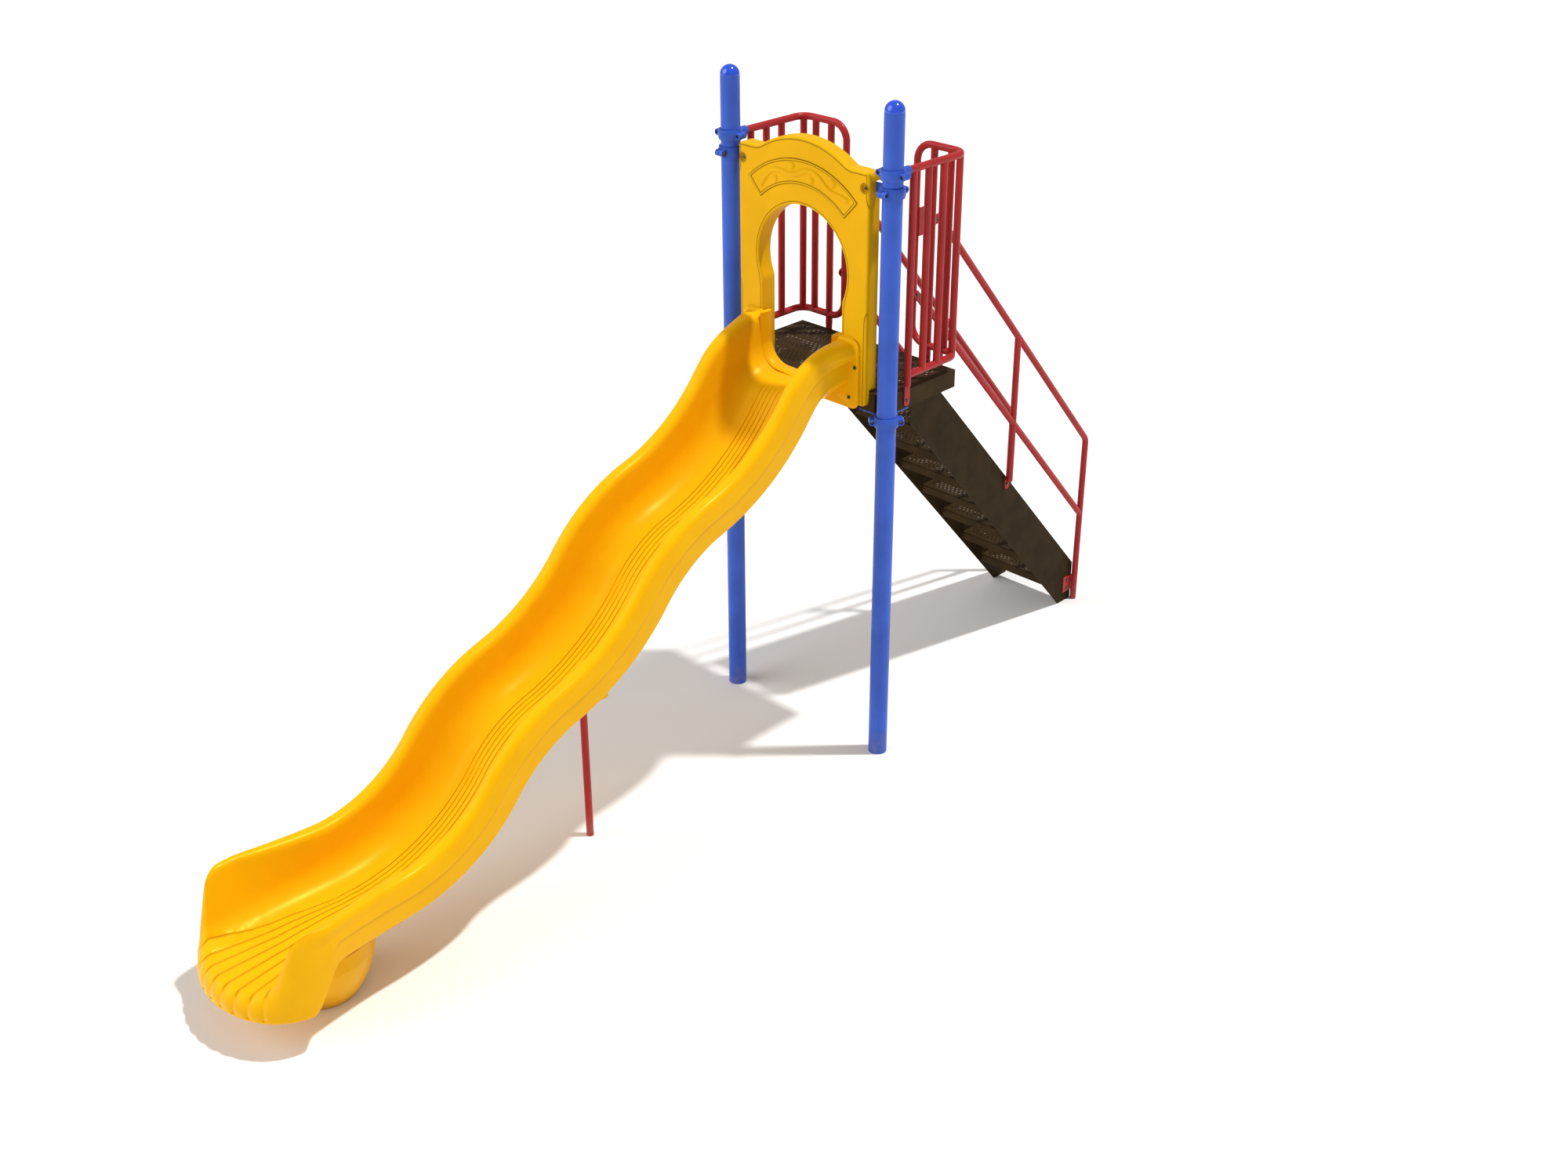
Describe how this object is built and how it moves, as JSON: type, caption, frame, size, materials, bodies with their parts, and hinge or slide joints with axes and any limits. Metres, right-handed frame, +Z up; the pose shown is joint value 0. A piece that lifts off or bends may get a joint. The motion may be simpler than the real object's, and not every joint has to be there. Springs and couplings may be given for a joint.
{
  "type": "playground slide",
  "caption": "Free-standing wave slide with a raised deck on round posts, an arched moulded entrance panel, guard rails and a stair with handrails behind",
  "frame": {"origin": "on the ground, at the middle of the footprint's bounding box", "axes": "+Z up, -Y the way a child slides, +X the slider's left, so the stair comes up from +Y"},
  "size_m": [1.11, 5.2512, 3.1314],
  "materials": {
    "post_blue": "blue gloss powder coat",
    "cap_blue": "blue moulded cap, glossy",
    "clamp_blue": "blue gloss powder coat on cast aluminium",
    "slide_yellow": "bright yellow, rotationally moulded, glossy",
    "panel_yellow": "yellow, rotationally moulded, fine grain",
    "rail_red": "red semi-gloss powder coat",
    "deck_brown": "very dark brown textured coat on perforated steel",
    "stair_brown": "very dark brown textured coat",
    "bolt_steel": "zinc-plated, dark in its recess"
  },
  "bodies": {
    "root": {"clamp_bolts": "bolt_steel", "clamp_nuts": "bolt_steel", "deck_bolts": "bolt_steel", "deck_clamp_inner_left": "clamp_blue", "deck_clamp_inner_right": "clamp_blue", "deck_clamp_outer_left": "clamp_blue", "deck_clamp_outer_right": "clamp_blue", "deck_nuts": "bolt_steel", "deck_panel": "deck_brown", "deck_stiffeners": "deck_brown", "entrance_panel": "panel_yellow", "exit_foot": "slide_yellow", "guard_gusset_left": "rail_red", "guard_gusset_right": "rail_red", "guard_legs_left": "rail_red", "guard_legs_right": "rail_red", "guard_pickets_left": "rail_red", "guard_pickets_right": "rail_red", "guard_rail_left": "rail_red", "guard_rail_right": "rail_red", "handrail_bolts": "bolt_steel", "handrail_left": "rail_red", "handrail_nuts": "bolt_steel", "handrail_plate_left": "rail_red", "handrail_plate_right": "rail_red", "handrail_right": "rail_red", "mid_post_left": "rail_red", "mid_post_right": "rail_red", "mid_rail_left": "rail_red", "mid_rail_right": "rail_red", "panel_bolts": "bolt_steel", "panel_clamp_inner_left": "clamp_blue", "panel_clamp_inner_right": "clamp_blue", "panel_clamp_outer_left": "clamp_blue", "panel_clamp_outer_right": "clamp_blue", "panel_nuts": "bolt_steel", "post_cap_left": "cap_blue", "post_cap_right": "cap_blue", "post_left": "post_blue", "post_right": "post_blue", "rail_clamp_back_left": "clamp_blue", "rail_clamp_back_right": "clamp_blue", "rail_clamp_front_left": "clamp_blue", "rail_clamp_front_right": "clamp_blue", "slide_chute": "slide_yellow", "slide_leg": "rail_red", "slide_saddle": "rail_red", "stair_tread_1": "stair_brown", "stair_tread_2": "stair_brown", "stair_tread_3": "stair_brown", "stair_tread_4": "stair_brown", "stair_tread_5": "stair_brown", "stair_tread_6": "stair_brown", "stair_tread_7": "stair_brown", "stair_tread_8": "stair_brown", "stringer_left": "stair_brown", "stringer_right": "stair_brown", "support_bolts": "bolt_steel"}
  },
  "joints": []
}
